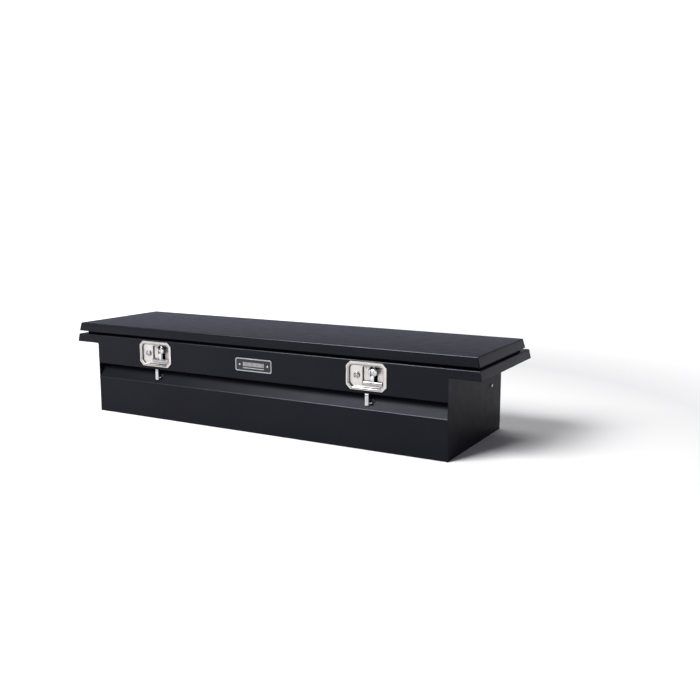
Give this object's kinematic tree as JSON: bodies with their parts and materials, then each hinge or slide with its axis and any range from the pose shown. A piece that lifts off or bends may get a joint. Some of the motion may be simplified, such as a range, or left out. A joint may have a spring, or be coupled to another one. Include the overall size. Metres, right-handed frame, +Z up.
{
  "type": "truck tool box",
  "caption": "Low-profile black steel crossover tool box for a pickup bed, with a rear-hinged lid, gas struts and stainless recessed pull latches with locks.",
  "frame": {"origin": "bottom centre of the whole box, on the underside of the tub", "axes": "+X along the length towards the right end seen from the latches, +Y from the latches to the hinge, +Z up"},
  "size_m": [1.778, 0.521, 0.3625],
  "materials": {
    "powder_black": "satin",
    "stainless": "satin",
    "chrome": "polished",
    "zinc": "satin",
    "rubber": "matte",
    "foam": "matte",
    "strut_black": "gloss",
    "badge_metal": "satin"
  },
  "bodies": {
    "tub": {"front_wall": "powder_black", "rear_wall": "powder_black", "floor_pan": "powder_black", "front_apron": "powder_black", "rim_seal": "rubber", "hinge_tub_leaf": "stainless", "hinge_pin": "stainless", "badge": "badge_metal", "left_end_plate": "powder_black", "left_wing_tray": "powder_black", "left_end_skirt": "powder_black", "left_strut_stud": "zinc", "left_latch_dish": "stainless", "left_dish_gasket": "rubber", "left_handle_boss": "chrome", "left_handle_pin": "stainless", "left_lever_bracket": "zinc", "left_lever_pin": "zinc", "left_rod_grommet": "rubber", "left_latch_housing": "zinc", "right_end_plate": "powder_black", "right_wing_tray": "powder_black", "right_end_skirt": "powder_black", "right_strut_stud": "zinc", "right_latch_dish": "stainless", "right_dish_gasket": "rubber", "right_handle_boss": "chrome", "right_handle_pin": "stainless", "right_lever_bracket": "zinc", "right_lever_pin": "zinc", "right_rod_grommet": "rubber", "right_latch_housing": "zinc"},
    "lid": {"lid_skin": "powder_black", "lid_liner": "powder_black", "lid_foam": "foam", "hinge_lid_leaf": "stainless", "left_strut_bracket": "powder_black", "left_striker": "zinc", "right_strut_bracket": "powder_black", "right_striker": "zinc"},
    "left_strut_tube": {"left_strut_cylinder": "strut_black"},
    "left_strut_ram": {"left_strut_rod": "chrome"},
    "left_handle": {"left_t_handle": "chrome"},
    "left_lock": {"left_lock_plug": "chrome", "left_lock_cam": "zinc"},
    "left_lever": {"left_trip_lever": "zinc"},
    "left_release": {"left_release_rod": "zinc"},
    "left_claw": {"left_claw": "zinc"},
    "left_pawl": {"left_pawl": "zinc"},
    "right_strut_tube": {"right_strut_cylinder": "strut_black"},
    "right_strut_ram": {"right_strut_rod": "chrome"},
    "right_handle": {"right_t_handle": "chrome"},
    "right_lock": {"right_lock_plug": "chrome", "right_lock_cam": "zinc"},
    "right_lever": {"right_trip_lever": "zinc"},
    "right_release": {"right_release_rod": "zinc"},
    "right_claw": {"right_claw": "zinc"},
    "right_pawl": {"right_pawl": "zinc"}
  },
  "joints": [
    {"name": "lid_hinge", "type": "hinge", "parent": "tub", "child": "lid", "pos_m": [0, 0.222, 0.322], "axis": [-1, 0, 0], "range_deg": [0, 70]},
    {"name": "left_strut_pivot", "type": "hinge", "parent": "tub", "child": "left_strut_tube", "pos_m": [-0.757, 0.1536, 0.187], "axis": [-1, 0, 0], "range_deg": [0, 37.3]},
    {"name": "left_strut_extend", "type": "slide", "parent": "left_strut_tube", "child": "left_strut_ram", "axis": [0, -0.5371, 0.8435], "range_m": [0, 0.1182]},
    {"name": "left_handle_pull", "type": "hinge", "parent": "tub", "child": "left_handle", "pos_m": [-0.447, -0.247, 0.279], "axis": [-1, 0, 0], "range_deg": [0, 40], "stiffness_Nm_per_rad": 0.5},
    {"name": "left_lock_turn", "type": "hinge", "parent": "tub", "child": "left_lock", "pos_m": [-0.512, -0.2435, 0.262], "axis": [0, -1, 0], "range_deg": [0, 90]},
    {"name": "left_lever_pivot", "type": "hinge", "parent": "tub", "child": "left_lever", "pos_m": [-0.471, -0.2452, 0.211], "axis": [-1, 0, 0], "range_deg": [0, 6.2]},
    {"name": "left_rod_slide", "type": "slide", "parent": "tub", "child": "left_release", "axis": [0, -1, 0], "range_m": [0, 0.0051]},
    {"name": "left_pawl_pivot", "type": "hinge", "parent": "tub", "child": "left_pawl", "pos_m": [-0.453, -0.158, 0.232], "axis": [-1, 0, 0], "range_deg": [0, 5]},
    {"name": "left_claw_pivot", "type": "hinge", "parent": "tub", "child": "left_claw", "pos_m": [-0.453, -0.188, 0.3], "axis": [1, 0, 0], "range_deg": [0, 53]},
    {"name": "right_strut_pivot", "type": "hinge", "parent": "tub", "child": "right_strut_tube", "pos_m": [0.757, 0.1536, 0.187], "axis": [-1, 0, 0], "range_deg": [0, 37.3]},
    {"name": "right_strut_extend", "type": "slide", "parent": "right_strut_tube", "child": "right_strut_ram", "axis": [0, -0.5371, 0.8435], "range_m": [0, 0.1182]},
    {"name": "right_handle_pull", "type": "hinge", "parent": "tub", "child": "right_handle", "pos_m": [0.495, -0.247, 0.279], "axis": [-1, 0, 0], "range_deg": [0, 40], "stiffness_Nm_per_rad": 0.5},
    {"name": "right_lock_turn", "type": "hinge", "parent": "tub", "child": "right_lock", "pos_m": [0.43, -0.2435, 0.262], "axis": [0, -1, 0], "range_deg": [0, 90]},
    {"name": "right_lever_pivot", "type": "hinge", "parent": "tub", "child": "right_lever", "pos_m": [0.471, -0.2452, 0.211], "axis": [-1, 0, 0], "range_deg": [0, 6.2]},
    {"name": "right_rod_slide", "type": "slide", "parent": "tub", "child": "right_release", "axis": [0, -1, 0], "range_m": [0, 0.0051]},
    {"name": "right_pawl_pivot", "type": "hinge", "parent": "tub", "child": "right_pawl", "pos_m": [0.489, -0.158, 0.232], "axis": [-1, 0, 0], "range_deg": [0, 5]},
    {"name": "right_claw_pivot", "type": "hinge", "parent": "tub", "child": "right_claw", "pos_m": [0.489, -0.188, 0.3], "axis": [1, 0, 0], "range_deg": [0, 53]}
  ],
  "couplings": [
    {"joint": "left_strut_pivot", "follows": "lid_hinge", "ratio": 0.53212},
    {"joint": "left_strut_extend", "follows": "lid_hinge", "m_per_rad": 0.096645},
    {"joint": "left_claw_pivot", "follows": "lid_hinge", "ratio": 0.75},
    {"joint": "left_lever_pivot", "follows": "left_handle_pull", "ratio": 0.155},
    {"joint": "left_rod_slide", "follows": "left_handle_pull", "m_per_rad": 0.00716},
    {"joint": "left_pawl_pivot", "follows": "left_handle_pull", "ratio": 0.1235},
    {"joint": "right_strut_pivot", "follows": "lid_hinge", "ratio": 0.53212},
    {"joint": "right_strut_extend", "follows": "lid_hinge", "m_per_rad": 0.096645},
    {"joint": "right_claw_pivot", "follows": "lid_hinge", "ratio": 0.75},
    {"joint": "right_lever_pivot", "follows": "right_handle_pull", "ratio": 0.155},
    {"joint": "right_rod_slide", "follows": "right_handle_pull", "m_per_rad": 0.00716},
    {"joint": "right_pawl_pivot", "follows": "right_handle_pull", "ratio": 0.1235}
  ]
}
